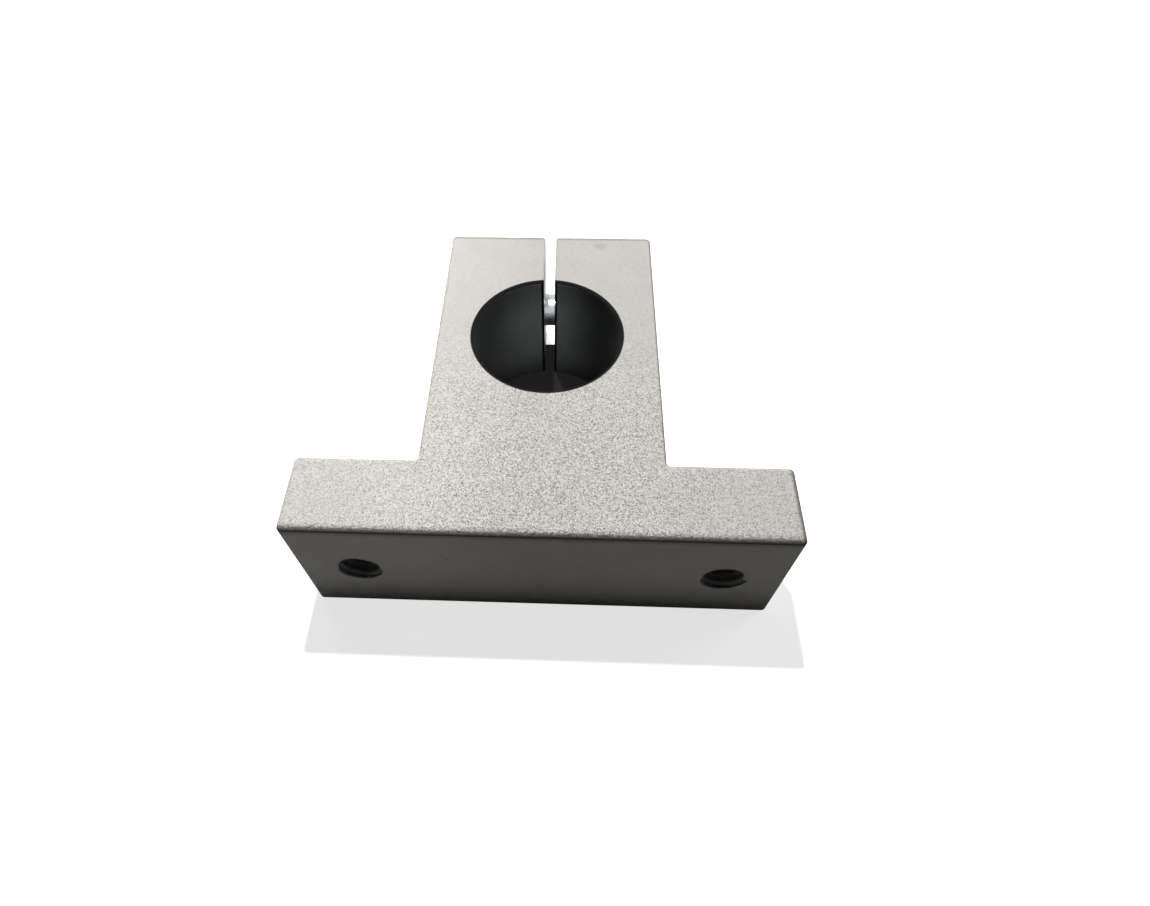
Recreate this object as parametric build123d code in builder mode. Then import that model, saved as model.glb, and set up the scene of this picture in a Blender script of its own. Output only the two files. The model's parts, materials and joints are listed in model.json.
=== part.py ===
from build123d import *
import os

# Shaft support block: a T-shaped aluminium block with a slit bore for a 20 mm shaft,
# and the cap screw that draws its two jaws together. Millimetres.
# It lies on its back face. The origin is the middle of the bore, on its axis.
# +Z runs along the bore and out of the front face, +Y runs from the base towards the slit,
# and +X runs to the side where the screw goes in.

# Block
bore_diameter = 20.0
bore_height = 31.0  # from the base's face to the bore's axis
block_depth = 20.0  # along the shaft
side_wall = 5.0  # metal on each side of the bore
jaw_height = 10.0  # metal above the bore
foot_length = 15.0  # how far each foot stands out from the upright
base_thickness = 10.0
slot_width = 1.6

# Edges, all softened by blasting
edge_round = 0.5  # round the front and back faces
corner_round = 0.6  # corners of the T outline
root_round = 0.5  # inside corners between the feet and the upright
bore_edge_round = 0.45
mouth_round = 1.0  # where the slot meets the top
crown_break = 0.3  # where the slot meets the bore

# Tapped holes, whose walls stand at the thread's outer diameter
base_thread = 6.0
hole_end_distance = 7.5  # from a hole's axis to the end of its foot

# Clamp screw, a socket head cap screw
screw_thread = 5.0
screw_length = 20.0
head_diameter = 8.5
head_height = 5.0
head_edge_round = 0.5
socket_width = 4.0  # across the flats
socket_depth = 2.5
tip_chamfer = 0.4

# Fits round the screw
thread_clearance = 0.05  # radial, in the tapped jaw
shank_clearance = 0.25  # radial, in the plain jaw
head_clearance = 0.25  # radial, in the recess
head_sink = 0.2  # how far the head lies below the side of the jaw
recess_wall = 1.0  # metal above the recess

# Places that follow from the sizes above
bore_radius = bore_diameter / 2
slot_half = slot_width / 2
upright_half = bore_radius + side_wall
base_half = upright_half + foot_length
base_y = -bore_height
foot_y = base_y + base_thickness
top_y = bore_radius + jaw_height
front_z = block_depth / 2
base_hole_x = base_half - hole_end_distance
recess_radius = head_diameter / 2 + head_clearance
recess_depth = head_height + head_sink
screw_y = top_y - recess_wall - recess_radius
head_seat_x = upright_half - recess_depth


# The T outline is drawn on the back face and drawn out to the front.
# The openings come after its edges are rounded, so each keeps its own edge.
with BuildPart() as support_block:
    with BuildSketch(Plane.XY.offset(-front_z)) as outline:
        with BuildLine():
            Polyline(
                (-base_half, base_y),
                (base_half, base_y),
                (base_half, foot_y),
                (upright_half, foot_y),
                (upright_half, top_y),
                (-upright_half, top_y),
                (-upright_half, foot_y),
                (-base_half, foot_y),
                close=True,
            )
        make_face()
        roots = outline.vertices().filter_by_position(Axis.Y, foot_y, foot_y)
        roots = roots.filter_by_position(Axis.X, -upright_half, upright_half)
        fillet(outline.vertices() - roots, radius=corner_round)
        roots = outline.vertices().filter_by_position(Axis.Y, foot_y, foot_y)
        roots = roots.filter_by_position(Axis.X, -upright_half, upright_half)
        fillet(roots, radius=root_round)
    extrude(amount=block_depth)
    rims = support_block.faces().filter_by(Axis.Z)
    fillet(rims.edges(), radius=edge_round)

    # Bore for the shaft
    Hole(radius=bore_radius)
    fillet(support_block.edges(Select.LAST).filter_by(GeomType.CIRCLE), radius=bore_edge_round)

    # Slot from the bore to the top, opened out at both ends
    with BuildSketch(Plane.XY.offset(-front_z)) as slot:
        with Locations((0, top_y)):
            Rectangle(slot_width, 2 * jaw_height)
            Rectangle(2 * upright_half, jaw_height, align=(Align.CENTER, Align.MIN))
        mouth = slot.vertices().filter_by_position(Axis.Y, top_y, top_y)
        fillet(mouth.filter_by_position(Axis.X, -slot_width, slot_width), radius=mouth_round)
        Polygon(
            (-slot_half, bore_radius + crown_break),
            (-slot_half - 2 * crown_break, bore_radius - crown_break),
            (slot_half + 2 * crown_break, bore_radius - crown_break),
            (slot_half, bore_radius + crown_break),
            align=None,
        )
    extrude(amount=block_depth, mode=Mode.SUBTRACT)

    # Hole for the clamp screw: recessed and plain on one side, tapped on the other
    with Locations(Plane(origin=(upright_half, screw_y, 0), z_dir=(1, 0, 0))):
        CounterBoreHole(
            radius=screw_thread / 2 + shank_clearance,
            counter_bore_radius=recess_radius,
            counter_bore_depth=recess_depth,
            depth=upright_half,
        )
    with Locations(Plane(origin=(-upright_half, screw_y, 0), z_dir=(-1, 0, 0))):
        Hole(radius=screw_thread / 2, depth=upright_half)

    # Tapped holes through the feet
    with Locations(
        Plane(origin=(-base_hole_x, base_y, 0), z_dir=(0, -1, 0)),
        Plane(origin=(base_hole_x, base_y, 0), z_dir=(0, -1, 0)),
    ):
        Hole(radius=base_thread / 2, depth=base_thickness)
support_block.part.label = "support_block"


# The screw lies along X, with its head seated in the recess and its tip in the tapped jaw.
with BuildPart() as clamp_screw:
    with BuildSketch(Plane.YZ.offset(head_seat_x)):
        with Locations((screw_y, 0)):
            Circle(radius=head_diameter / 2)
    extrude(amount=head_height)
    fillet(clamp_screw.edges().sort_by(Axis.X)[-1], radius=head_edge_round)
    with BuildSketch(Plane.YZ.offset(head_seat_x)):
        with Locations((screw_y, 0)):
            Circle(radius=screw_thread / 2 - thread_clearance)
    extrude(amount=-screw_length)
    chamfer(clamp_screw.edges().sort_by(Axis.X)[0], length=tip_chamfer)
    with BuildSketch(Plane.YZ.offset(head_seat_x + head_height)):
        with Locations((screw_y, 0)):
            RegularPolygon(radius=socket_width / 2, side_count=6, major_radius=False)
    extrude(amount=-socket_depth, mode=Mode.SUBTRACT)
clamp_screw.part.label = "clamp_screw"


os.makedirs("parts", exist_ok=True)
export_step(support_block.part, "parts/support_block.step")
export_step(clamp_screw.part, "parts/clamp_screw.step")
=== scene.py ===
"""Looks of a shaft support block: its blasted finish, its threads, its clamp screw and a plain stage."""

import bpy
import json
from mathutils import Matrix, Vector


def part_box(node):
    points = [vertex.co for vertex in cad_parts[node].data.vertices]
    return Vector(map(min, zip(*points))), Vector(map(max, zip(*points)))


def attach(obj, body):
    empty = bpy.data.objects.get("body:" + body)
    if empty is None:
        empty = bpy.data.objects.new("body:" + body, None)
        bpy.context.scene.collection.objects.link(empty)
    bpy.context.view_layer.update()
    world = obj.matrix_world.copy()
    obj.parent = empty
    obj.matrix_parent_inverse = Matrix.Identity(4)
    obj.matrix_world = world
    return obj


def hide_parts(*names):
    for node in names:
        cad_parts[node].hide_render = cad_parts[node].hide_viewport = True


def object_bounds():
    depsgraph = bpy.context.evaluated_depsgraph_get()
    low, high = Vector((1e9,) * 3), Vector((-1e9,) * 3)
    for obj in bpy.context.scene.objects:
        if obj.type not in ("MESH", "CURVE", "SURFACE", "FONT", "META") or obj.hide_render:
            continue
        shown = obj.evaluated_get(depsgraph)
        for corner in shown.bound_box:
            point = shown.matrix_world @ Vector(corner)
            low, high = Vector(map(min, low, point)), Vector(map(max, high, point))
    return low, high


bl_info = {
    "name": "Shaft Support Block",
    "version": (1, 0, 0),
    "blender": (4, 5, 0),
    "location": "3D View > Sidebar > Shaft Block",
    "description": "Finishes the block, cuts its threads, makes its clamp screw and sets up the stage",
    "category": "Object",
}

import json
import math

import bpy
from mathutils import Matrix, Quaternion, Vector

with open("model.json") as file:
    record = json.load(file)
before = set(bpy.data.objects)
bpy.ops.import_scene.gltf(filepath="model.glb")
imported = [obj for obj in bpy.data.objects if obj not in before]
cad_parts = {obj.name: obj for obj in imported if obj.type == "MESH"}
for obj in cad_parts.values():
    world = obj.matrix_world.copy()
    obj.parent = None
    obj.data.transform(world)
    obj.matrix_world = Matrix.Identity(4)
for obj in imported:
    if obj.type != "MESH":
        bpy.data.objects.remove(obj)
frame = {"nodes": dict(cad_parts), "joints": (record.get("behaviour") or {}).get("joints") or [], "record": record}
cad_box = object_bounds()

MM = 0.001

# Places that the frame gives
block_low, block_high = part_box("support_block")
screw_low, screw_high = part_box("clamp_screw")
mounts = {mount["name"]: mount for mount in frame["record"]["mounts"]}
bore_radius = mounts["shaft_bore"]["dims"]["r_mm"] * MM
foot_hole_radius = mounts["foot_holes"]["dims"]["hole_r_mm"] * MM
foot_hole_x = mounts["foot_holes"]["dims"]["spacing_x_mm"] * MM / 2
screw_axis = Vector(frame["joints"][0]["pos_m"])
head_radius = (screw_high.y - screw_low.y) / 2
bore_length = mounts["shaft_bore"]["dims"]["length_mm"] * MM
bore_edge_round = (block_high.z - block_low.z - bore_length) / 2

# Sizes of the block that the frame doesn't give, in millimetres
SLOT_HALF = 0.8
RECESS_GAP = 0.25  # round the screw's head


def linear(hex_colour):
    """The linear red, green and blue of an sRGB hex colour."""
    channels = [int(hex_colour[i : i + 2], 16) / 255 for i in (1, 3, 5)]
    return [c / 12.92 if c <= 0.04045 else ((c + 0.055) / 1.055) ** 2.4 for c in channels]


def length(name, description, millimetres):
    """A length that is shown in the sidebar."""
    return bpy.props.FloatProperty(
        name=name,
        description=description,
        default=millimetres * MM,
        min=0.0,
        precision=5,
        unit="LENGTH",
    )


def colour(name, description, hex_colour):
    """A colour that is shown in the sidebar."""
    return bpy.props.FloatVectorProperty(
        name=name,
        description=description,
        default=linear(hex_colour),
        min=0.0,
        max=1.0,
        subtype="COLOR",
    )


def share(name, description, default):
    """A number from 0 to 1 that is shown in the sidebar."""
    return bpy.props.FloatProperty(
        name=name,
        description=description,
        default=default,
        min=0.0,
        max=1.0,
        subtype="FACTOR",
    )


class BlockFinish(bpy.types.PropertyGroup):
    """Finish of the block."""

    face_colour: colour("Face colour", "Blasted and clear anodised faces", "#D4D3D0")
    bore_colour: colour("Bore colour", "Bored, sawn and drilled faces", "#B4B8B7")
    # The rim's colour is painted shade, dark where the rounded rim turns into the bore
    rim_shade_colour: colour("Rim colour", "Dulled rim of the bore", "#2A2B2C")
    # The thread's colour is darker than the cut metal: painted shade inside the holes
    thread_shade_colour: colour("Thread colour", "Tapped threads", "#8C8D8C")
    grain: length("Grain", "Width of the dimples that blasting leaves", 0.115)
    grain_depth: length("Grain depth", "Depth of the dimples", 0.01)
    grain_contrast: share("Grain contrast", "How much darker the darkest dimples are", 0.85)
    face_metal: share("Face metal", "Share of a metal's light in the blasted faces", 0.01)
    face_roughness: share("Face roughness", "Roughness of the blasted faces", 0.62)
    cut_metal: share("Cut metal", "Share of a metal's light in the cut faces", 0.85)
    cut_roughness: share("Cut roughness", "Roughness of the cut faces", 0.38)


class ThreadSizes(bpy.types.PropertyGroup):
    """Threads in the block."""

    foot_height: length("Foot height", "Metal that the threads in the feet cross", 10.0)
    foot_pitch: length("Foot pitch", "Pitch of the threads in the feet", 1.0)
    jaw_side: length("Jaw side", "From the bore's axis to the side of the tapped jaw", 15.0)
    jaw_pitch: length("Jaw pitch", "Pitch of the thread in the jaw", 0.8)
    jaw_radius: length("Jaw hole radius", "Outer radius of the thread in the jaw", 2.5)
    sink: length("Sink", "How far the threads' backs stand in the metal around them", 0.05)
    tip_gap: length("Tip gap", "From the screw's tip to the end of the jaw's thread", 0.1)


class ScrewSizes(bpy.types.PropertyGroup):
    """Sizes and finish of the clamp screw."""

    thread_radius: length("Thread radius", "Radius over the crests", 2.45)
    thread_depth: length("Thread depth", "From crest to root", 0.49)
    thread_length: length("Thread length", "From the tip to the plain shank", 9.0)
    pitch: length("Pitch", "Advance in one turn", 0.8)
    head_height: length("Head height", "Height of the head", 5.0)
    head_round: length("Head round", "Round at the top of the head", 0.5)
    seat_break: length("Seat break", "Broken edge at the foot of the head", 0.2)
    knurl_depth: length("Knurl depth", "Depth of the grooves round the head", 0.09)
    knurl_margin: length("Knurl margin", "Plain band above and below the grooves", 0.35)
    socket_width: length("Socket width", "Across the flats", 4.0)
    socket_depth: length("Socket depth", "Depth of the flats", 2.5)
    tip_break: length("Tip break", "Broken edge at the tip", 0.4)
    zinc_colour: colour("Zinc colour", "Bright zinc plating", "#CFD3D6")


class StageSettings(bpy.types.PropertyGroup):
    """Floor, light and camera."""

    floor_colour: colour("Floor colour", "Pale card under the block", "#F4F4F2")
    key_level: bpy.props.FloatProperty(
        name="Key level",
        description="Brightness of a white face that looks at the key lamp",
        default=0.87,
        min=0.0,
    )
    key_from: bpy.props.FloatVectorProperty(
        name="Key from",
        description="Direction of the key lamp, seen from the bore",
        default=(-0.08, 0.25, 1.0),
        subtype="DIRECTION",
    )
    key_distance: length("Key distance", "From the bore to the key lamp", 250.0)
    key_width: length("Key width", "Width of the key lamp", 9.0)
    back_level: bpy.props.FloatProperty(
        name="Back level",
        description="Brightness of a white face that looks at the back lamp",
        default=0.15,
        min=0.0,
    )
    side_level: bpy.props.FloatProperty(
        name="Side level",
        description="Brightness of a white face that looks at the side lamp",
        default=0.25,
        min=0.0,
    )
    fill_level: share("Fill level", "Brightness of the room as it lights the block", 0.006)
    focal_length: bpy.props.FloatProperty(
        name="Focal length",
        description="Focal length on a sensor 36 mm wide, in millimetres",
        default=22.286,
        min=1.0,
    )


# Materials


def add_node(tree, kind, inputs, **options):
    """Adds a node. Its options are attributes, and each input is a value or an output that feeds it.

    An input that has no name of its own goes by its number. In a map range, 1 and 2 are the
    lengths between which the result goes from 3 to 4.
    """
    made = tree.nodes.new("ShaderNode" + kind)
    for name, value in options.items():
        setattr(made, name, value)
    for name, value in inputs.items():
        if isinstance(value, bpy.types.NodeSocket):
            tree.links.new(value, made.inputs[name])
        else:
            made.inputs[name].default_value = value
    return made


def new_material(name):
    """An empty node material and its tree."""
    material = bpy.data.materials.new(name)
    material.use_nodes = True
    material.node_tree.nodes.clear()
    return material, material.node_tree


def in_millimetres(tree):
    """Places on the piece in millimetres, in its own frame."""
    place = add_node(tree, "TexCoord", {})
    mm = add_node(
        tree,
        "VectorMath",
        {0: place.outputs["Object"], 1: (1 / MM, 1 / MM, 1 / MM)},
        operation="MULTIPLY",
    )
    return mm.outputs[0]


def cut_faces(tree, mm, at):
    """Two masks of the block: its bored, sawn and drilled faces, and the rim of its bore, which carries painted
    shade.
    """
    # Bored: near the bore's axis, out to the end of its rounded rim
    flat = add_node(tree, "VectorMath", {0: mm, 1: (1, 1, 0)}, operation="MULTIPLY")
    from_bore = add_node(tree, "VectorMath", {0: flat.outputs[0]}, operation="LENGTH")
    radius = bore_radius / MM
    rim_end = radius + bore_edge_round / MM
    bored = add_node(
        tree,
        "MapRange",
        {0: from_bore.outputs["Value"], 1: rim_end - 0.01, 2: rim_end + 0.1, 3: 1.0, 4: 0.0},
        interpolation_type="SMOOTHSTEP",
    )
    # The rim's mask places painted shade where the rounded rim turns into the bore
    rim = add_node(
        tree,
        "MapRange",
        {0: from_bore.outputs["Value"], 1: radius, 2: radius + 0.03},
        interpolation_type="SMOOTHSTEP",
    )
    # Sawn: near the middle and above the bore's axis
    aside = add_node(tree, "Math", {0: at.outputs["X"]}, operation="ABSOLUTE")
    between = add_node(
        tree,
        "MapRange",
        {0: aside.outputs[0], 1: SLOT_HALF + 0.02, 2: SLOT_HALF + 0.1, 3: 1.0, 4: 0.0},
    )
    above = add_node(tree, "Math", {0: at.outputs["Y"], 1: 0.0}, operation="GREATER_THAN")
    sawn = add_node(
        tree, "Math", {0: between.outputs[0], 1: above.outputs[0]}, operation="MULTIPLY"
    )
    # Drilled: near the clamp screw's axis, on the side of its head
    from_screw = add_node(
        tree, "VectorMath", {0: mm, 1: (0, -screw_axis.y / MM, 0)}, operation="ADD"
    )
    across = add_node(
        tree, "VectorMath", {0: from_screw.outputs[0], 1: (0, 1, 1)}, operation="MULTIPLY"
    )
    off_axis = add_node(tree, "VectorMath", {0: across.outputs[0]}, operation="LENGTH")
    recess = head_radius / MM + RECESS_GAP + 0.03
    drilled = add_node(
        tree,
        "MapRange",
        {0: off_axis.outputs["Value"], 1: recess, 2: recess + 0.05, 3: 1.0, 4: 0.0},
    )
    head_side = add_node(tree, "Math", {0: at.outputs["X"], 1: 0.0}, operation="GREATER_THAN")
    drilled = add_node(
        tree, "Math", {0: drilled.outputs[0], 1: head_side.outputs[0]}, operation="MULTIPLY"
    )
    cut = add_node(
        tree, "Math", {0: bored.outputs[0], 1: sawn.outputs[0]}, operation="MAXIMUM"
    )
    cut = add_node(
        tree, "Math", {0: cut.outputs[0], 1: drilled.outputs[0]}, operation="MAXIMUM"
    )
    rim = add_node(
        tree, "Math", {0: rim.outputs[0], 1: bored.outputs[0]}, operation="MULTIPLY"
    )
    return cut.outputs[0], rim.outputs[0]


def painted_bore_light(tree, at):
    """Painted light on the cut faces: palest beside the slot and half way down the bore, and darker away from
    them.
    """
    palest_x = -1.8
    palest_z = -0.5
    off_slot = add_node(tree, "Math", {0: at.outputs["X"], 1: palest_x}, operation="SUBTRACT")
    aside = add_node(tree, "Math", {0: off_slot.outputs[0]}, operation="ABSOLUTE")
    across = add_node(
        tree,
        "MapRange",
        {0: aside.outputs[0], 1: 1.5, 2: 10.0, 3: 1.15, 4: 0.25},
        interpolation_type="SMOOTHSTEP",
    )
    off_middle = add_node(tree, "Math", {0: at.outputs["Z"], 1: palest_z}, operation="SUBTRACT")
    deep = add_node(tree, "Math", {0: off_middle.outputs[0]}, operation="ABSOLUTE")
    along = add_node(
        tree,
        "MapRange",
        {0: deep.outputs[0], 1: 2.5, 2: 11.0, 3: 1.74, 4: 0.72},
        interpolation_type="SMOOTHSTEP",
    )
    tone = add_node(
        tree, "Math", {0: across.outputs[0], 1: along.outputs[0]}, operation="MULTIPLY"
    )
    return tone.outputs[0]


def blast_dimples(tree, finish, mm):
    """Tone from -1 to 0.5 and height of the dimples.

    Each dimple is tipped its own way, so each has a tone of its own, and few are much darker
    than the rest. Real dimples can be finer: these are drawn as coarse as they need to show.
    """
    dimple = add_node(
        tree, "TexVoronoi", {"Vector": mm, "Scale": MM / finish.grain}, feature="F1"
    )
    own = add_node(tree, "SeparateColor", {0: dimple.outputs["Color"]})
    tipped = add_node(tree, "Math", {0: own.outputs["Red"], 1: 0.5}, operation="POWER")
    tone = add_node(
        tree, "Math", {0: tipped.outputs[0], 1: 1.5, 2: -1.0}, operation="MULTIPLY_ADD"
    )
    return tone.outputs[0], dimple.outputs["Distance"]


def shade_round_front(tree, normal, on_round, not_down):
    """Painted shade along the line round the front's edges, darker on those that turn to the right, away from the
    light. Those that turn to the left stay pale.
    """
    to_right = add_node(
        tree,
        "MapRange",
        {0: normal.outputs["X"], 1: -0.6, 2: 0.3, 3: 1.0, 4: 0.55},
        interpolation_type="SMOOTHSTEP",
    )
    tipped = add_node(
        tree,
        "MapRange",
        {0: normal.outputs["Z"], 1: 0.98, 2: 0.75, 3: 0.0, 4: 1.0},
        interpolation_type="SMOOTHSTEP",
    )
    line = add_node(
        tree, "Math", {0: tipped.outputs[0], 1: on_round.outputs[0]}, operation="MULTIPLY"
    )
    line = add_node(
        tree, "Math", {0: line.outputs[0], 1: not_down.outputs[0]}, operation="MULTIPLY"
    )
    return add_node(
        tree,
        "Mix",
        {0: line.outputs[0], 2: 1.0, 3: to_right.outputs[0]},
        data_type="FLOAT",
    )


def shade_low_front_edge(tree, normal, scales, on_round, not_down):
    """Painted shade along the lower front edge, where it turns down away from the light. The scales break it up.
    """
    ragged = add_node(
        tree,
        "Math",
        {0: scales.outputs["Fac"], 1: 1.8, 2: normal.outputs["Y"]},
        operation="MULTIPLY_ADD",
    )
    turned_down = add_node(
        tree, "MapRange", {0: ragged.outputs[0], 1: 0.55, 2: 0.15, 3: 0.0, 4: 1.0}
    )
    dark = add_node(
        tree, "Math", {0: turned_down.outputs[0], 1: on_round.outputs[0]}, operation="MULTIPLY"
    )
    below = add_node(
        tree,
        "Mix",
        {0: not_down.outputs[0], 2: dark.outputs[0], 3: 0.0},
        data_type="FLOAT",
    )
    return add_node(tree, "MapRange", {0: below.outputs[0], 3: 1.0, 4: 0.78})


def front_falloff_shade(tree, at, scales):
    """Painted shade on the front where it starts to fall away before its top, right and lower edges."""
    top = block_high.y / MM
    near_top = add_node(
        tree,
        "MapRange",
        {0: at.outputs["Y"], 1: top - 1.0, 2: top - 0.45, 3: 1.0, 4: 0.68},
        interpolation_type="SMOOTHSTEP",
    )
    right = block_high.x / MM
    near_right = add_node(
        tree,
        "MapRange",
        {0: at.outputs["X"], 1: right - 0.7, 2: right - 0.35, 3: 1.0, 4: 0.48},
        interpolation_type="SMOOTHSTEP",
    )
    edge = block_low.y / MM
    fall = add_node(
        tree,
        "Math",
        {0: scales.outputs["Fac"], 1: 3.4, 2: at.outputs["Y"]},
        operation="MULTIPLY_ADD",
    )
    near_bottom = add_node(
        tree,
        "MapRange",
        {0: fall.outputs[0], 1: edge + 2.0, 2: edge + 2.7, 3: 0.45, 4: 1.0},
        interpolation_type="SMOOTHSTEP",
    )
    tone = near_top
    for part in (near_right, near_bottom):
        tone = add_node(
            tree, "Math", {0: tone.outputs[0], 1: part.outputs[0]}, operation="MULTIPLY"
        )
    return tone


def base_falloff_shade(tree, at, not_down):
    """Painted shade on the base's face: it falls away before the front, and darkens towards the floor where the
    base meets it.
    """
    front = block_high.z / MM
    back = block_low.z / MM
    near_front = add_node(
        tree,
        "MapRange",
        {0: at.outputs["Z"], 1: front - 1.5, 2: front - 0.5, 3: 1.0, 4: 0.68},
        interpolation_type="SMOOTHSTEP",
    )
    near_floor = add_node(
        tree,
        "MapRange",
        {0: at.outputs["Z"], 1: back + 0.5, 2: back + 8.0, 3: 0.75, 4: 1.0},
        interpolation_type="SMOOTHSTEP",
    )
    tone = add_node(
        tree, "Math", {0: near_front.outputs[0], 1: near_floor.outputs[0]}, operation="MULTIPLY"
    )
    return add_node(
        tree,
        "Mix",
        {0: not_down.outputs[0], 2: tone.outputs[0], 3: 1.0},
        data_type="FLOAT",
    )


def shade_beside_slot(tree, at):
    """Painted shade on the edges beside the slot, which are broken too finely to model."""
    aside = add_node(tree, "Math", {0: at.outputs["X"]}, operation="ABSOLUTE")
    beside = add_node(
        tree,
        "MapRange",
        {0: aside.outputs[0], 1: SLOT_HALF + 0.05, 2: SLOT_HALF + 0.3, 3: 0.76, 4: 1.0},
        interpolation_type="SMOOTHSTEP",
    )
    above = add_node(tree, "Math", {0: at.outputs["Y"], 1: 0.0}, operation="GREATER_THAN")
    return add_node(
        tree,
        "Mix",
        {0: above.outputs[0], 2: 1.0, 3: beside.outputs[0]},
        data_type="FLOAT",
    )


def shaded_edges(tree, mm, at, normal):
    """Painted shade on the softened edges: a line all round, darker where the edges turn to the right, and a dark
    one along the lower front, where the edge turns away from the light. It also carries the painted shade of the
    base's face and of the edges beside the slot.
    """
    on_round = add_node(
        tree,
        "MapRange",
        {0: normal.outputs["Z"], 1: 0.03, 2: 0.12, 3: 0.0, 4: 1.0},
        interpolation_type="SMOOTHSTEP",
    )
    not_down = add_node(
        tree, "MapRange", {0: normal.outputs["Y"], 1: 0.0, 2: -0.2, 3: 1.0, 4: 0.0}
    )
    # Scales of metal that lie along the lower front edge
    scale_length = 0.5556
    scale_width = 0.2
    stretched = add_node(
        tree,
        "VectorMath",
        {0: mm, 1: (1 / scale_length, 1 / scale_width, 1 / scale_width)},
        operation="MULTIPLY",
    )
    scales = add_node(
        tree,
        "TexNoise",
        {"Vector": stretched.outputs[0], "Scale": 1.0, "Detail": 4.0, "Roughness": 0.75},
    )
    # The end faces keep their tone, so the front's painted shade counts only where the surface turns to it
    falls = front_falloff_shade(tree, at, scales)
    tone = add_node(
        tree,
        "Mix",
        {0: on_round.outputs[0], 2: 1.0, 3: falls.outputs[0]},
        data_type="FLOAT",
    )
    parts = (
        shade_round_front(tree, normal, on_round, not_down),
        shade_low_front_edge(tree, normal, scales, on_round, not_down),
        base_falloff_shade(tree, at, not_down),
        shade_beside_slot(tree, at),
    )
    for part in parts:
        tone = add_node(
            tree, "Math", {0: tone.outputs[0], 1: part.outputs[0]}, operation="MULTIPLY"
        )
    return tone.outputs[0]


def smudge_on_jaw(tree, mm):
    """Tone of a faint smudge near the top of the jaw."""
    smudge_at = (7.5, 17.9, 10.0)
    smudge_width = 1.15
    smudge_height = 0.7
    blotch_width = 0.909
    off_smudge = add_node(tree, "VectorMath", {0: mm, 1: smudge_at}, operation="SUBTRACT")
    oval = add_node(
        tree,
        "VectorMath",
        {0: off_smudge.outputs[0], 1: (1 / smudge_width, 1 / smudge_height, 1.0)},
        operation="MULTIPLY",
    )
    reach = add_node(tree, "VectorMath", {0: oval.outputs[0]}, operation="LENGTH")
    blotch = add_node(
        tree, "TexNoise", {"Vector": mm, "Scale": 1 / blotch_width, "Detail": 1.0}
    )
    uneven = add_node(
        tree,
        "Math",
        {0: blotch.outputs["Fac"], 1: 1.2, 2: reach.outputs["Value"]},
        operation="MULTIPLY_ADD",
    )
    smudge = add_node(
        tree,
        "MapRange",
        {0: uneven.outputs[0], 1: 0.9, 2: 1.8, 3: 0.84, 4: 1.0},
        interpolation_type="SMOOTHSTEP",
    )
    return smudge.outputs[0]


def dot_on_base(tree, mm):
    """Tone of a dark dot on the base's face."""
    dot_at = (-11.2, -31.0, 3.5)
    off_dot = add_node(tree, "VectorMath", {0: mm, 1: dot_at}, operation="SUBTRACT")
    from_dot = add_node(tree, "VectorMath", {0: off_dot.outputs[0]}, operation="LENGTH")
    dot = add_node(
        tree,
        "MapRange",
        {0: from_dot.outputs["Value"], 1: 0.08, 2: 0.2, 3: 0.5, 4: 1.0},
        interpolation_type="SMOOTHSTEP",
    )
    return dot.outputs[0]


def nick_in_edge(tree, mm):
    """Depth of a nick that runs up from the lower edge. Its own frame is turned along it."""
    nick_at = (-25.7, -30.45, 10.0)
    nick_slant = math.radians(31)
    along_nick = add_node(
        tree,
        "Mapping",
        {"Vector": mm, "Location": nick_at, "Rotation": (0, 0, nick_slant)},
        vector_type="TEXTURE",
    )
    local = add_node(tree, "SeparateXYZ", {0: along_nick.outputs[0]})
    width = add_node(tree, "Math", {0: local.outputs["Y"]}, operation="ABSOLUTE")
    span = add_node(tree, "Math", {0: local.outputs["X"]}, operation="ABSOLUTE")
    narrow = add_node(
        tree,
        "MapRange",
        {0: width.outputs[0], 1: 0.03, 2: 0.14, 3: 1.0, 4: 0.0},
        interpolation_type="SMOOTHSTEP",
    )
    short = add_node(
        tree,
        "MapRange",
        {0: span.outputs[0], 1: 0.4, 2: 0.75, 3: 1.0, 4: 0.0},
        interpolation_type="SMOOTHSTEP",
    )
    nick = add_node(
        tree, "Math", {0: narrow.outputs[0], 1: short.outputs[0]}, operation="MULTIPLY"
    )
    return nick.outputs[0]


def grain_strength(tree, contrast, at, normal):
    """Contrast of the dimples: most near the base, and less at the slot, both ends and below."""
    upward = add_node(
        tree,
        "MapRange",
        {0: at.outputs["Y"], 1: -16.0, 2: 6.0, 3: contrast, 4: 0.16 * contrast},
        interpolation_type="SMOOTHSTEP",
    )
    aside = add_node(tree, "Math", {0: at.outputs["X"]}, operation="ABSOLUTE")
    sideways = add_node(
        tree,
        "MapRange",
        {0: aside.outputs[0], 1: 8.0, 2: 29.0, 3: 1.0, 4: 0.6},
        interpolation_type="SMOOTHSTEP",
    )
    underneath = add_node(
        tree,
        "MapRange",
        {0: normal.outputs["Y"], 1: -0.9, 2: -0.3, 3: 0.1, 4: 1.0},
        interpolation_type="SMOOTHSTEP",
    )
    strength = add_node(
        tree, "Math", {0: upward.outputs[0], 1: sideways.outputs[0]}, operation="MULTIPLY"
    )
    strength = add_node(
        tree, "Math", {0: strength.outputs[0], 1: underneath.outputs[0]}, operation="MULTIPLY"
    )
    return strength.outputs[0]


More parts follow.
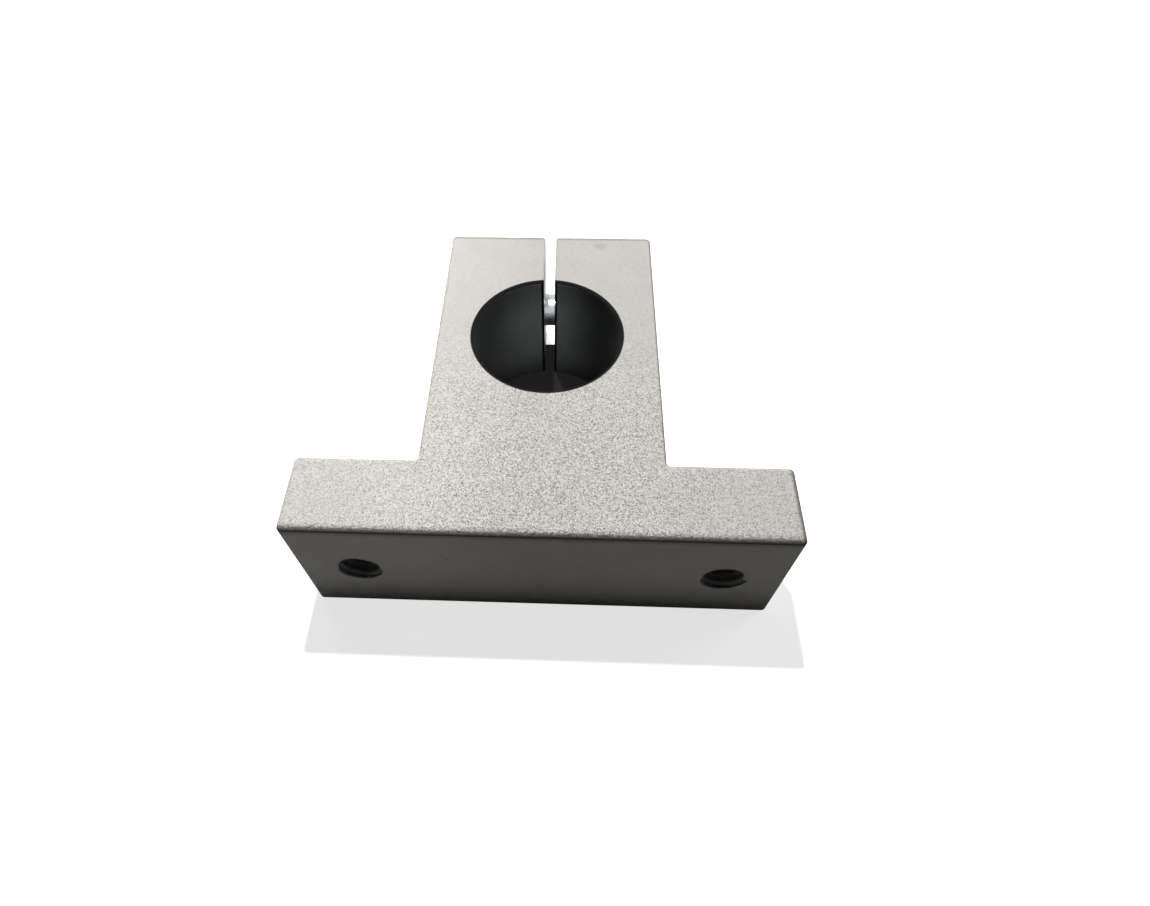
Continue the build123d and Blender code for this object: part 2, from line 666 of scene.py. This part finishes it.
def light_from_left_and_patches(tree, mm, at):
    """Tone of the blasted faces without their grain: painted light makes them paler to the left, and soft patches
    of tone differ at random.
    """
    patch_width = 5.0
    left_light = add_node(
        tree,
        "MapRange",
        {0: at.outputs["X"], 1: -19.0, 2: 1.0, 3: 1.12, 4: 0.935},
        interpolation_type="SMOOTHSTEP",
    )
    patches = add_node(
        tree, "TexNoise", {"Vector": mm, "Scale": 1 / patch_width, "Detail": 2.0}
    )
    patch = add_node(
        tree, "MapRange", {0: patches.outputs["Fac"], 1: 0.3, 2: 0.7, 3: -0.02, 4: 0.02}
    )
    drift = add_node(tree, "Math", {0: patch.outputs[0], 1: left_light.outputs[0]}, operation="ADD")
    return drift.outputs[0]


def surface_height(tree, mm, cut, dimple_height):
    """Height as a share of the grain's depth: dimples, tool lines on the cut faces, and the nick."""
    line_gap = 0.349  # from one tool line to the next
    gap_at_scale_1 = math.tau / 20  # between the bands of a wave texture
    lines = add_node(
        tree,
        "TexWave",
        {"Vector": mm, "Scale": gap_at_scale_1 / line_gap, "Distortion": 0.6, "Detail": 1.0},
        bands_direction="Z",
    )
    shallow = add_node(tree, "Math", {0: lines.outputs["Fac"], 1: 0.25}, operation="MULTIPLY")
    height = add_node(
        tree, "Mix", {0: cut, 2: dimple_height, 3: shallow.outputs[0]}, data_type="FLOAT"
    )
    nick_depth = 9.0
    height = add_node(
        tree,
        "Math",
        {0: nick_in_edge(tree, mm), 1: -nick_depth, 2: height.outputs[0]},
        operation="MULTIPLY_ADD",
    )
    return height.outputs[0]


def blasted_anodised_aluminium(finish):
    """Extruded aluminium, bead-blasted, clear anodised, then bored, sawn and drilled.

    The dimples scatter light almost evenly, so a face is a pale matt grey with fine sparkling
    specks, and only a small share of its light is a metal's. Painted shade darkens the faces
    near their edges and the base towards the floor, and painted light makes them paler to the
    left. The cut faces are smoother and darker: they mirror what is round them, painted light
    makes them palest beside the slot, the rim of the bore is painted shade, and fine tool lines
    run across them.
    """
    material, tree = new_material("blasted_anodised_aluminium")
    mm = in_millimetres(tree)
    at = add_node(tree, "SeparateXYZ", {0: mm})
    faces = add_node(tree, "TexCoord", {})
    normal = add_node(tree, "SeparateXYZ", {0: faces.outputs["Normal"]})
    cut, rim = cut_faces(tree, mm, at)
    dimple_tone, dimple_height = blast_dimples(tree, finish, mm)

    # Blasted faces: grain on painted light from the left and soft patches, and then the painted edge shade and the
    # marks
    strength = grain_strength(tree, finish.grain_contrast, at, normal)
    level = add_node(
        tree,
        "Math",
        {0: dimple_tone, 1: strength, 2: light_from_left_and_patches(tree, mm, at)},
        operation="MULTIPLY_ADD",
    )
    parts = (
        shaded_edges(tree, mm, at, normal),
        smudge_on_jaw(tree, mm),
        dot_on_base(tree, mm),
    )
    for part in parts:
        level = add_node(tree, "Math", {0: level.outputs[0], 1: part}, operation="MULTIPLY")
    face = add_node(
        tree,
        "VectorMath",
        {0: tuple(finish.face_colour), "Scale": level.outputs[0]},
        operation="SCALE",
    )

    # Cut faces: smooth and bright, with painted light beside the slot, apart from the rim of the bore, which is
    # painted shade
    wall = add_node(
        tree,
        "VectorMath",
        {0: tuple(finish.bore_colour), "Scale": painted_bore_light(tree, at)},
        operation="SCALE",
    )
    worked = add_node(
        tree,
        "Mix",
        {0: rim, 6: wall.outputs[0], 7: (*finish.rim_shade_colour, 1.0)},
        data_type="RGBA",
    )
    tint = add_node(
        tree,
        "Mix",
        {0: cut, 6: face.outputs[0], 7: worked.outputs[2]},
        data_type="RGBA",
    )
    bright = add_node(tree, "Math", {0: cut, 1: rim}, operation="SUBTRACT", use_clamp=True)
    metal = add_node(
        tree, "MapRange", {0: bright.outputs[0], 3: finish.face_metal, 4: finish.cut_metal}
    )
    rough = add_node(
        tree,
        "MapRange",
        {0: bright.outputs[0], 3: finish.face_roughness, 4: finish.cut_roughness},
    )

    height = surface_height(tree, mm, cut, dimple_height)
    bump = add_node(
        tree, "Bump", {"Strength": 1.0, "Distance": finish.grain_depth, "Height": height}
    )
    shader = add_node(
        tree,
        "BsdfPrincipled",
        {
            "Base Color": tint.outputs[2],
            "Metallic": metal.outputs[0],
            "Roughness": rough.outputs[0],
            "Specular IOR Level": 0.0,
            "Normal": bump.outputs[0],
        },
    )
    add_node(tree, "OutputMaterial", {"Surface": shader.outputs[0]})
    return material


def tapped_aluminium(finish):
    """Aluminium cut by a tap. Its flanks are dull, and painted darker than the cut metal as shade inside the
    holes, with fine marks along the cut.
    """
    material, tree = new_material("tapped_aluminium")
    mm = in_millimetres(tree)
    tear_width = 0.125
    torn = add_node(tree, "TexNoise", {"Vector": mm, "Scale": 1 / tear_width, "Detail": 3.0})
    level = add_node(tree, "MapRange", {0: torn.outputs["Fac"], 1: 0.3, 2: 0.7, 3: 0.8, 4: 1.15})
    tint = add_node(
        tree,
        "VectorMath",
        {0: tuple(finish.thread_shade_colour), "Scale": level.outputs[0]},
        operation="SCALE",
    )
    bump = add_node(
        tree, "Bump", {"Strength": 0.6, "Distance": 0.02 * MM, "Height": torn.outputs["Fac"]}
    )
    shader = add_node(
        tree,
        "BsdfPrincipled",
        {
            "Base Color": tint.outputs[0],
            "Metallic": 0.0,
            "Roughness": 0.6,
            "Specular IOR Level": 0.15,
            "Normal": bump.outputs[0],
        },
    )
    add_node(tree, "OutputMaterial", {"Surface": shader.outputs[0]})
    return material


def bright_zinc_plated_steel(sizes):
    """Forged and rolled steel, bright zinc plated. It is a cool, slightly cloudy bright metal."""
    material, tree = new_material("bright_zinc_plated_steel")
    mm = in_millimetres(tree)
    cloud_width = 1.25
    pit_width = 0.1111
    cloud = add_node(tree, "TexNoise", {"Vector": mm, "Scale": 1 / cloud_width, "Detail": 4.0})
    level = add_node(tree, "MapRange", {0: cloud.outputs["Fac"], 1: 0.3, 2: 0.7, 3: 0.9, 4: 1.04})
    tint = add_node(
        tree,
        "VectorMath",
        {0: tuple(sizes.zinc_colour), "Scale": level.outputs[0]},
        operation="SCALE",
    )
    rough = add_node(tree, "MapRange", {0: cloud.outputs["Fac"], 1: 0.3, 2: 0.7, 3: 0.34, 4: 0.24})
    pits = add_node(tree, "TexNoise", {"Vector": mm, "Scale": 1 / pit_width, "Detail": 2.0})
    bump = add_node(
        tree, "Bump", {"Strength": 0.5, "Distance": 0.004 * MM, "Height": pits.outputs["Fac"]}
    )
    shader = add_node(
        tree,
        "BsdfPrincipled",
        {
            "Base Color": tint.outputs[0],
            "Metallic": 1.0,
            "Roughness": rough.outputs[0],
            "Normal": bump.outputs[0],
        },
    )
    add_node(tree, "OutputMaterial", {"Surface": shader.outputs[0]})
    return material


def seen_directly(tree):
    """1 for camera, glossy and transmission rays, which see the pale background, and 0 for the rest."""
    path = add_node(tree, "LightPath", {})
    seen = add_node(
        tree,
        "Math",
        {0: path.outputs["Is Camera Ray"], 1: path.outputs["Is Glossy Ray"]},
        operation="MAXIMUM",
    )
    return add_node(
        tree,
        "Math",
        {0: seen.outputs[0], 1: path.outputs["Is Transmission Ray"]},
        operation="MAXIMUM",
    ).outputs[0]


def shade_card():
    """Dark matt card, a sheet of painted shade that lies under the bore and the slot.

    Where it is seen it also glows a faint grey, as painted light, so the light that falls on it stands out little.
    """
    material, tree = new_material("shade_card")
    place = add_node(tree, "TexCoord", {})
    fibre_width = 0.5 * MM
    fibre = add_node(
        tree, "TexNoise", {"Vector": place.outputs["Object"], "Scale": 1 / fibre_width}
    )
    tint = add_node(
        tree,
        "MapRange",
        {0: fibre.outputs["Fac"], 1: 0.3, 2: 0.7, 3: 0.015, 4: 0.019},
    )
    matt = add_node(tree, "BsdfDiffuse", {"Color": tint.outputs[0]})
    # The glow is painted light, seen only directly
    glow = add_node(
        tree, "Emission", {"Color": (0.96, 0.97, 1.0, 1.0), "Strength": 0.011}
    )
    shown = add_node(tree, "AddShader", {0: matt.outputs[0], 1: glow.outputs[0]})
    surface = add_node(
        tree,
        "MixShader",
        {0: seen_directly(tree), 1: matt.outputs[0], 2: shown.outputs[0]},
    )
    add_node(tree, "OutputMaterial", {"Surface": surface.outputs[0]})
    return material


def pale_card(chosen):
    """Pale matt card. It keeps the block's shadow, and fades into the white room further out."""
    material, tree = new_material("pale_card")
    matt = add_node(tree, "BsdfDiffuse", {"Color": (*chosen.floor_colour, 1.0)})
    place = add_node(tree, "TexCoord", {})
    off_block = add_node(
        tree, "VectorMath", {0: place.outputs["Object"]}, operation="LENGTH"
    )
    # Near the block the lamps light the card too, so metal mirrors it at white and no brighter
    glow_seen = 0.73
    glow_mirrored = 0.15
    fade_start = 80 * MM
    fade_end = 300 * MM
    path = add_node(tree, "LightPath", {})
    near = add_node(
        tree, "MapRange", {0: path.outputs["Is Camera Ray"], 3: glow_mirrored, 4: glow_seen}
    )
    strength = add_node(
        tree,
        "MapRange",
        {0: off_block.outputs["Value"], 1: fade_start, 2: fade_end, 3: near.outputs[0], 4: 1.0},
        interpolation_type="SMOOTHSTEP",
    )
    glow = add_node(tree, "Emission", {"Strength": strength.outputs[0]})
    pale = add_node(tree, "AddShader", {0: matt.outputs[0], 1: glow.outputs[0]})
    dull = add_node(tree, "BsdfDiffuse", {"Color": (0.4, 0.4, 0.4, 1.0)})
    surface = add_node(
        tree,
        "MixShader",
        {0: seen_directly(tree), 1: dull.outputs[0], 2: pale.outputs[0]},
    )
    add_node(tree, "OutputMaterial", {"Surface": surface.outputs[0]})
    return material


def light_room(chosen):
    """The world: white where it is seen, and a dim even fill where it lights the block."""
    world = bpy.data.worlds.new("plain_room")
    world.use_nodes = True
    tree = world.node_tree
    tree.nodes.clear()
    white_colour = (1.0, 1.0, 1.0, 1.0)
    fill = add_node(
        tree, "Background", {"Color": white_colour, "Strength": chosen.fill_level}
    )
    white = add_node(tree, "Background", {"Color": white_colour})
    room = add_node(
        tree,
        "MixShader",
        {0: seen_directly(tree), 1: fill.outputs[0], 2: white.outputs[0]},
    )
    add_node(tree, "OutputWorld", {"Surface": room.outputs[0]})
    bpy.context.scene.world = world


# Meshes


def new_piece(name, rings, closed, start, axis, materials):
    """A smooth closed mesh through rings of (radius, turn, along), laid along an axis.

    A closed mesh joins its last ring to its first, as a tube's wall does. Otherwise a point on
    the axis ends it on both sides.
    """
    points = [
        (radius * math.cos(turn), radius * math.sin(turn), along)
        for ring in rings
        for radius, turn, along in ring
    ]
    segments = len(rings[0])
    count = len(rings)
    faces = []
    for row in range(count if closed else count - 1):
        here = row * segments
        there = (row + 1) % count * segments
        for i in range(segments):
            j = (i + 1) % segments
            faces.append((here + i, here + j, there + j, there + i))
    if not closed:
        for row, reach in ((0, rings[0][0][2]), (count - 1, rings[-1][0][2])):
            points.append((0.0, 0.0, reach))
            for i in range(segments):
                j = (i + 1) % segments
                faces.append((row * segments + i, row * segments + j, len(points) - 1))
    mesh = bpy.data.meshes.new(name)
    mesh.from_pydata(points, [], faces)
    turned = Vector((0, 0, 1)).rotation_difference(axis).to_matrix().to_4x4()
    mesh.transform(Matrix.Translation(start) @ turned)
    mesh.validate()
    mesh.shade_smooth()
    mesh.set_sharp_from_angle(angle=math.radians(35))
    for material in materials:
        mesh.materials.append(material)
    piece = bpy.data.objects.new(name, mesh)
    bpy.context.scene.collection.objects.link(piece)
    bpy.context.view_layer.objects.active = piece
    piece.select_set(True)
    bpy.ops.object.mode_set(mode="EDIT")
    bpy.ops.mesh.select_all(action="SELECT")
    bpy.ops.mesh.normals_make_consistent(inside=False)
    bpy.ops.object.mode_set(mode="OBJECT")
    piece.select_set(False)
    return piece


def thread_radius(turn, along, pitch, crest, root, crest_flat, root_flat):
    """Radius of a right-hand thread with 60 degree flanks. The flats are shares of the pitch."""
    phase = (along / pitch - turn / math.tau) % 1.0
    flank = (abs(phase - 0.5) - crest_flat / 2) / (0.5 - (crest_flat + root_flat) / 2)
    return crest + (root - crest) * min(max(flank, 0.0), 1.0)


SEGMENTS = 144
TURNS = [i * math.tau / SEGMENTS for i in range(SEGMENTS)]
ROWS_PER_PITCH = 14


def thread_places(reach, pitch, mouths, lip):
    """Places of the rings along a thread, closer together where a mouth is rounded."""
    rows = round(reach / pitch * ROWS_PER_PITCH)
    places = {reach * row / rows for row in range(rows + 1)}
    lip_steps = 8
    for mouth in mouths:
        inward = lip if mouth == 0.0 else -lip
        for step in range(lip_steps):
            angle = math.pi / 2 * step / lip_steps
            places.add(mouth + inward * (1 - math.cos(angle)))
    return sorted(places)


def cut_thread(name, start, axis, reach, hole_radius, pitch, mouths, sizes, materials):
    """A tapped thread as a thin sleeve in its hole. Each mouth is rounded, as blasting leaves it.

    The first material covers the thread, and the second most of its rounded lips.
    """
    wall_gap = 0.03 * MM  # keeps the roots in front of the hole's own wall
    depth = 0.541 * pitch  # of a metric thread in a hole
    root = hole_radius - wall_gap
    crest = hole_radius - depth
    lip = root - crest
    places = thread_places(reach, pitch, mouths, lip)
    rings = []
    for along in places:
        ring = []
        for turn in TURNS:
            radius = thread_radius(
                turn, along, pitch, crest, root, crest_flat=1 / 4, root_flat=1 / 8
            )
            for mouth in mouths:
                left = max(0.0, lip - abs(along - mouth))
                radius = max(radius, root - math.sqrt(lip**2 - left**2))
            ring.append((radius, turn, along))
        rings.append(ring)
    back = hole_radius + sizes.sink
    tuck = 0.03 * MM  # keeps the sleeve's ends just inside the metal
    places += [reach - tuck, tuck]
    for along in places[-2:]:
        rings.append([(back, turn, along) for turn in TURNS])
    piece = new_piece(name, rings, True, start, axis, materials)
    pale = 0.75 * lip
    for face in piece.data.polygons:
        row = face.index // len(TURNS)
        ends = (places[row], places[(row + 1) % len(places)])
        if any(max(abs(end - mouth) for end in ends) < pale for mouth in mouths):
            face.material_index = 1
    return piece


def screw_rings(sizes, reach):
    """Rings of the clamp screw, from the floor of its socket over the head to the tip."""
    head = head_radius
    rings = []

    def ring(along, radius):
        rings.append([(radius(turn) if callable(radius) else radius, turn, along) for turn in TURNS])

    def flats(turn):
        """Radius of the six flats of the socket."""
        sixth = math.tau / 6
        return sizes.socket_width / 2 / math.cos((turn + sixth / 2) % sixth - sixth / 2)

    # Socket: a drilled point, six flats and a small lead-in
    drill = 0.46 * sizes.socket_width
    drill_point = 0.5 * drill
    corner = sizes.socket_width / 2 / math.cos(math.tau / 12)
    lead = 0.12 * MM
    top = reach
    floor = top - sizes.socket_depth
    ring(floor - drill_point, 0.02 * drill)
    ring(floor, drill)
    ring(floor, flats)
    ring(top - 2 * lead, flats)
    ring(top, corner + lead)
    ring(top, corner + 1.2 * lead)  # keeps the flat top flat beside the lead-in

    # Head: flat top, rounded edge, grooved side and broken lower edge
    steps = 6
    for step in range(steps + 1):
        turn_down = math.pi / 2 * step / steps
        ring(
            top - sizes.head_round * (1 - math.cos(turn_down)),
            head - sizes.head_round * (1 - math.sin(turn_down)),
        )
    seat = top - sizes.head_height
    groove_top = top - sizes.head_round - sizes.knurl_margin
    groove_foot = seat + sizes.seat_break + sizes.knurl_margin

    def grooved(turn):
        """Every third point round the head lies at the bottom of a groove."""
        bottom = round(turn / math.tau * len(TURNS)) % 3 == 0
        return head - (sizes.knurl_depth if bottom else 0.0)

    ring(groove_top + sizes.knurl_depth, head)
    ring(groove_top, grooved)
    ring(groove_foot, grooved)
    ring(groove_foot - sizes.knurl_depth, head)
    ring(seat + sizes.seat_break, head)
    ring(seat, head - sizes.seat_break)

    # Plain shank through the clear jaw and the slot
    neck = 0.2 * MM
    ring(seat, sizes.thread_radius + neck)
    ring(seat - neck, sizes.thread_radius)

    # Thread: in the tapped jaw, down to the broken edge of the tip
    crest = sizes.thread_radius
    root = crest - sizes.thread_depth
    start = sizes.thread_length
    rows = round(start / sizes.pitch * ROWS_PER_PITCH)
    for row in range(rows + 1):
        along = start * (1 - row / rows)
        runout = min(1.0, (start - along) / sizes.pitch)
        tip = crest - sizes.tip_break + along

        def threaded(turn):
            cut = thread_radius(
                turn, along, sizes.pitch, crest, root, crest_flat=1 / 8, root_flat=1 / 4
            )
            return min(crest + (cut - crest) * runout, tip)

        ring(along, threaded)
    return rings


# Operators


def settings(context):
    """The four groups of sizes and colours."""
    return context.scene.shaft_block


class SHAFTBLOCK_OT_finish_block(bpy.types.Operator):
    """Give the block its blasted and anodised finish"""

    bl_idname = "shaftblock.finish_block"
    bl_label = "Finish the block"

    def execute(self, context):
        block = frame["nodes"]["support_block"]
        material = blasted_anodised_aluminium(settings(context).block)
        if not block.material_slots:
            raise RuntimeError("the block has no material slot to finish")
        for slot in block.material_slots:
            slot.material = material
        return {"FINISHED"}


class SHAFTBLOCK_OT_cut_threads(bpy.types.Operator):
    """Cut the threads in both feet and in the jaw"""

    bl_idname = "shaftblock.cut_threads"
    bl_label = "Cut the threads"

    def execute(self, context):
        sizes = settings(context).threads
        block = frame["nodes"]["support_block"]
        materials = (tapped_aluminium(settings(context).block), block.material_slots[0].material)
        reach = sizes.foot_height
        for name, x in (("foot_thread_left", -foot_hole_x), ("foot_thread_right", foot_hole_x)):
            piece = cut_thread(
                name,
                Vector((x, block_low.y, 0.0)),
                Vector((0, 1, 0)),
                reach,
                foot_hole_radius,
                sizes.foot_pitch,
                (0.0, reach),
                sizes,
                materials,
            )
            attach(piece, "block")
        outside = -sizes.jaw_side
        piece = cut_thread(
            "jaw_thread",
            Vector((outside, screw_axis.y, screw_axis.z)),
            Vector((1, 0, 0)),
            screw_low.x - sizes.tip_gap - outside,
            sizes.jaw_radius,
            sizes.jaw_pitch,
            (0.0,),
            sizes,
            materials,
        )
        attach(piece, "block")
        return {"FINISHED"}


class SHAFTBLOCK_OT_make_screw(bpy.types.Operator):
    """Make the socket head screw that draws the jaws together"""

    bl_idname = "shaftblock.make_screw"
    bl_label = "Make the clamp screw"

    def execute(self, context):
        sizes = settings(context).screw
        if sizes.thread_depth >= sizes.thread_radius:
            raise RuntimeError("the screw's thread is deeper than the screw")
        rings = screw_rings(sizes, screw_high.x - screw_low.x)
        start = Vector((screw_low.x, screw_axis.y, screw_axis.z))
        piece = new_piece(
            "cap_screw",
            rings,
            False,
            start,
            Vector((1, 0, 0)),
            (bright_zinc_plated_steel(sizes),),
        )
        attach(piece, "screw")
        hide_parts("clamp_screw")
        return {"FINISHED"}


class SHAFTBLOCK_OT_stage(bpy.types.Operator):
    """Lay the pale floor, set the lamps and place the camera"""

    bl_idname = "shaftblock.stage"
    bl_label = "Set up the stage"

    def execute(self, context):
        scene = context.scene
        chosen = settings(context).stage
        scene.view_settings.view_transform = "Standard"
        light_room(chosen)

        bpy.ops.mesh.primitive_plane_add(size=4.0, location=(0.0, 0.0, cad_box[0].z))
        floor = context.object
        floor.name = "floor"
        floor.data.materials.append(pale_card(chosen))

        # A card of painted shade under the block alone, which shows only through the bore and the slot
        side = bore_radius + 1 * MM
        far = 16.2 * MM  # under the slot it ends here, where the pale floor starts to show
        lift = 0.01 * MM
        middle = (0.0, (far - side) / 2, cad_box[0].z + lift)
        bpy.ops.mesh.primitive_plane_add(size=1.0, location=middle)
        card = context.object
        card.name = "shade_card"
        card.scale = (2 * side, far + side, 1.0)
        card.data.materials.append(shade_card())

        key_place = Vector(chosen.key_from).normalized() * chosen.key_distance
        back_place = Vector((-300.0, 450.0, 150.0)) * MM
        side_place = Vector((450.0, 250.0, 100.0)) * MM
        soft = 250 * MM  # width of the two soft lamps
        self.add_lamp("key", key_place, chosen.key_width, chosen.key_level, "#FFFDFA")
        self.add_lamp("back", back_place, soft, chosen.back_level, "#FFFFFF")
        self.add_lamp("side", side_place, soft, chosen.side_level, "#FFFFFF")
        self.add_camera(chosen)
        return {"FINISHED"}

    def add_lamp(self, name, place, width, level, hex_colour):
        """A round lamp that looks at the bore. A white face there renders at the level."""
        data = bpy.data.lights.new(name, "AREA")
        data.shape = "DISK"
        data.size = width
        data.color = linear(hex_colour)
        data.energy = level * (math.pi * place.length) ** 2
        lamp = bpy.data.objects.new(name, data)
        lamp.location = place
        lamp.rotation_euler = (-place).to_track_quat("-Z", "Y").to_euler()
        bpy.context.scene.collection.objects.link(lamp)

    def add_camera(self, chosen):
        """The photograph's view: from in front and above, a little to the right."""
        place = Vector((2.54, -67.54, 81.52)) * MM
        target = Vector((-0.3, -18.3, 10.0)) * MM
        roll = math.radians(-1.43)
        data = bpy.data.cameras.new("camera")
        data.sensor_width = 36.0
        data.lens = chosen.focal_length
        data.shift_x = 0.0305
        data.shift_y = -0.0085
        data.clip_start = 5 * MM
        camera = bpy.data.objects.new("camera", data)
        camera.location = place
        looking = (target - place).to_track_quat("-Z", "Y")
        camera.rotation_mode = "QUATERNION"
        camera.rotation_quaternion = looking @ Quaternion((0, 0, 1), roll)
        bpy.context.scene.collection.objects.link(camera)
        bpy.context.scene.camera = camera


class ShaftBlockSettings(bpy.types.PropertyGroup):
    """All sizes and colours of the add-on."""

    block: bpy.props.PointerProperty(type=BlockFinish)
    threads: bpy.props.PointerProperty(type=ThreadSizes)
    screw: bpy.props.PointerProperty(type=ScrewSizes)
    stage: bpy.props.PointerProperty(type=StageSettings)


OPERATORS = (
    SHAFTBLOCK_OT_stage,
    SHAFTBLOCK_OT_finish_block,
    SHAFTBLOCK_OT_cut_threads,
    SHAFTBLOCK_OT_make_screw,
)


class SHAFTBLOCK_PT_panel(bpy.types.Panel):
    """Lists the steps and their sizes."""

    bl_idname = "SHAFTBLOCK_PT_panel"
    bl_label = "Shaft Block"
    bl_space_type = "VIEW_3D"
    bl_region_type = "UI"
    bl_category = "Shaft Block"

    def draw(self, context):
        for operator in OPERATORS:
            self.layout.operator(operator.bl_idname)
        groups = settings(context)
        for group in (groups.block, groups.threads, groups.screw, groups.stage):
            box = self.layout.box()
            for name in group.__annotations__:
                box.prop(group, name)


CLASSES = (
    BlockFinish,
    ThreadSizes,
    ScrewSizes,
    StageSettings,
    ShaftBlockSettings,
    *OPERATORS,
    SHAFTBLOCK_PT_panel,
)


def register():
    for each in CLASSES:
        bpy.utils.register_class(each)
    bpy.types.Scene.shaft_block = bpy.props.PointerProperty(type=ShaftBlockSettings)


def unregister():
    del bpy.types.Scene.shaft_block
    for each in reversed(CLASSES):
        bpy.utils.unregister_class(each)


def main():
    register()
    bpy.ops.shaftblock.stage()
    bpy.ops.shaftblock.finish_block()
    bpy.ops.shaftblock.cut_threads()
    bpy.ops.shaftblock.make_screw()


if __name__ == "__main__":
    main()
